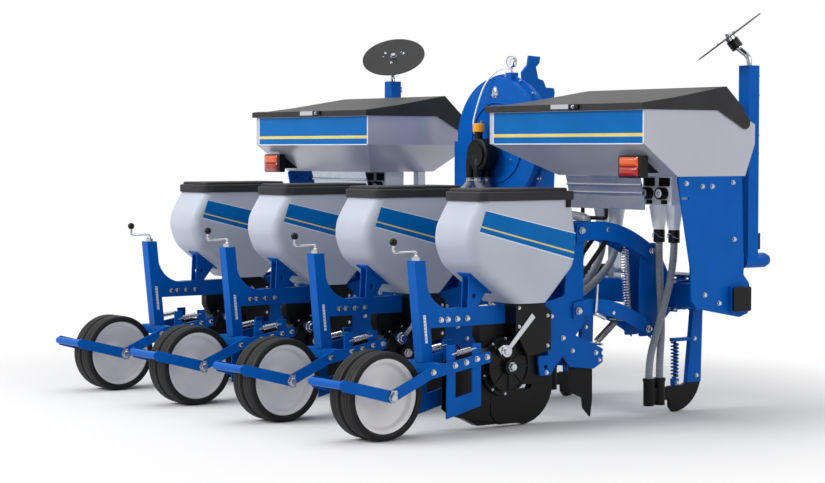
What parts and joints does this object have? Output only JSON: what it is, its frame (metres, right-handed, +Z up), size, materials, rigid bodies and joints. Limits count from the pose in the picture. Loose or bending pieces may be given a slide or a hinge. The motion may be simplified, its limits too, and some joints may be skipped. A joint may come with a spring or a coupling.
{
  "type": "mounted pneumatic precision seeder",
  "caption": "Mounted precision seeder: toolbar with fertiliser hoppers, vacuum fan and folding row markers, and row units with seed hopper, opener and press wheel.",
  "frame": {"origin": "bottom centre of the whole machine, on the floor that it stands on", "axes": "+X to the machine's right along the toolbar, +Y in the direction of travel, +Z up"},
  "size_m": [3.156, 2.297, 1.8207],
  "materials": {
    "blue_paint": "gloss powder coat",
    "black_paint": "satin black paint",
    "hopper_grey": "moulded polyethylene",
    "lid_black": "moulded black plastic",
    "black_plastic": "moulded black plastic",
    "tyre_rubber": "moulded rubber",
    "rim_grey": "moulded grey plastic",
    "steel": "bright zinc plated",
    "disc_black": "black paint",
    "hose_grey": "corrugated hose",
    "funnel_white": "moulded white plastic",
    "cap_yellow": "moulded yellow plastic",
    "lamp_red": "lamp lens in a black case"
  },
  "bodies": {
    "frame": {"row_frames": "blue_paint", "wheel_arms": "blue_paint", "parallel_arms": "blue_paint", "row_brackets": "blue_paint", "furrow_closers": "blue_paint", "toolbar": "blue_paint", "side_plates": "blue_paint", "hopper_legs": "steel", "lower_hitches": "blue_paint", "hitch_mast": "blue_paint", "fan_housing": "blue_paint", "fert_legs": "blue_paint", "fert_openers": "black_paint", "fert_springs": "blue_paint", "marker_brackets": "blue_paint", "clod_blades": "black_paint", "depth_cranks": "steel", "arm_springs": "steel", "metering_units": "black_plastic", "seed_openers": "black_paint", "toolbar_caps": "black_plastic", "belt_case": "blue_paint", "vacuum_manifold": "black_plastic", "vacuum_gauge": "steel", "relief_cap": "cap_yellow", "vacuum_hoses": "hose_grey", "fert_hoses": "hose_grey", "fert_dosers": "black_plastic", "fert_collars": "black_plastic", "fert_funnels": "funnel_white", "shaft_bearings": "black_plastic", "lamp_brackets": "black_paint", "tail_lamps": "lamp_red", "seed_hopper_1": "hopper_grey", "seed_hopper_2": "hopper_grey", "seed_hopper_3": "hopper_grey", "seed_hopper_4": "hopper_grey", "fert_hopper_left": "hopper_grey", "fert_hopper_right": "hopper_grey"},
    "wheel_1": {"tyre_1": "tyre_rubber", "rim_1": "rim_grey"},
    "seed_lid_1": {"seed_lid_1": "lid_black"},
    "wheel_2": {"tyre_2": "tyre_rubber", "rim_2": "rim_grey"},
    "seed_lid_2": {"seed_lid_2": "lid_black"},
    "wheel_3": {"tyre_3": "tyre_rubber", "rim_3": "rim_grey"},
    "seed_lid_3": {"seed_lid_3": "lid_black"},
    "wheel_4": {"tyre_4": "tyre_rubber", "rim_4": "rim_grey"},
    "seed_lid_4": {"seed_lid_4": "lid_black"},
    "fert_lid_left": {"fert_lid_left": "lid_black"},
    "marker_arm_left": {"marker_arm_left": "blue_paint"},
    "marker_disc_left": {"marker_disc_left": "disc_black"},
    "fert_lid_right": {"fert_lid_right": "lid_black"},
    "marker_arm_right": {"marker_arm_right": "blue_paint"},
    "marker_disc_right": {"marker_disc_right": "disc_black"},
    "pto_shaft": {"pto_shaft": "steel"},
    "drive_shaft": {"drive_shaft": "steel"}
  },
  "joints": [
    {"name": "wheel_1_spin", "type": "hinge", "parent": "frame", "child": "wheel_1", "pos_m": [-1.125, -0.8865, 0.185], "axis": [1, 0, 0], "continuous": true},
    {"name": "seed_lid_1_hinge", "type": "hinge", "parent": "frame", "child": "seed_lid_1", "pos_m": [-1.125, 0.0895, 0.989], "axis": [-1, 0, 0], "range_deg": [0, 85]},
    {"name": "wheel_2_spin", "type": "hinge", "parent": "frame", "child": "wheel_2", "pos_m": [-0.375, -0.8865, 0.185], "axis": [1, 0, 0], "continuous": true},
    {"name": "seed_lid_2_hinge", "type": "hinge", "parent": "frame", "child": "seed_lid_2", "pos_m": [-0.375, 0.0895, 0.989], "axis": [-1, 0, 0], "range_deg": [0, 85]},
    {"name": "wheel_3_spin", "type": "hinge", "parent": "frame", "child": "wheel_3", "pos_m": [0.375, -0.8865, 0.185], "axis": [1, 0, 0], "continuous": true},
    {"name": "seed_lid_3_hinge", "type": "hinge", "parent": "frame", "child": "seed_lid_3", "pos_m": [0.375, 0.0895, 0.989], "axis": [-1, 0, 0], "range_deg": [0, 85]},
    {"name": "wheel_4_spin", "type": "hinge", "parent": "frame", "child": "wheel_4", "pos_m": [1.125, -0.8865, 0.185], "axis": [1, 0, 0], "continuous": true},
    {"name": "seed_lid_4_hinge", "type": "hinge", "parent": "frame", "child": "seed_lid_4", "pos_m": [1.125, 0.0895, 0.989], "axis": [-1, 0, 0], "range_deg": [0, 85]},
    {"name": "fert_lid_left_hinge", "type": "hinge", "parent": "frame", "child": "fert_lid_left", "pos_m": [-1.015, 0.8305, 1.316], "axis": [-1, 0, 0], "range_deg": [0, 48]},
    {"name": "marker_arm_left_fold", "type": "hinge", "parent": "frame", "child": "marker_arm_left", "pos_m": [-1.376, 1.0285, 0.69], "axis": [0, -1, 0], "range_deg": [0, 110]},
    {"name": "marker_disc_left_spin", "type": "hinge", "parent": "marker_arm_left", "child": "marker_disc_left", "pos_m": [-1.298, 0.9765, 1.715], "axis": [0.3908, -0.461, 0.7967], "continuous": true},
    {"name": "fert_lid_right_hinge", "type": "hinge", "parent": "frame", "child": "fert_lid_right", "pos_m": [1.015, 0.8305, 1.316], "axis": [-1, 0, 0], "range_deg": [0, 48]},
    {"name": "marker_arm_right_fold", "type": "hinge", "parent": "frame", "child": "marker_arm_right", "pos_m": [1.376, 1.0285, 0.69], "axis": [0, 1, 0], "range_deg": [0, 110]},
    {"name": "marker_disc_right_spin", "type": "hinge", "parent": "marker_arm_right", "child": "marker_disc_right", "pos_m": [1.298, 0.9765, 1.715], "axis": [-0.3908, -0.461, 0.7967], "continuous": true},
    {"name": "pto_spin", "type": "hinge", "parent": "frame", "child": "pto_shaft", "pos_m": [0, 0.9555, 0.93], "axis": [0, 1, 0], "continuous": true},
    {"name": "drive_shaft_spin", "type": "hinge", "parent": "frame", "child": "drive_shaft", "pos_m": [0, 0.8205, 0.622], "axis": [1, 0, 0], "continuous": true}
  ]
}
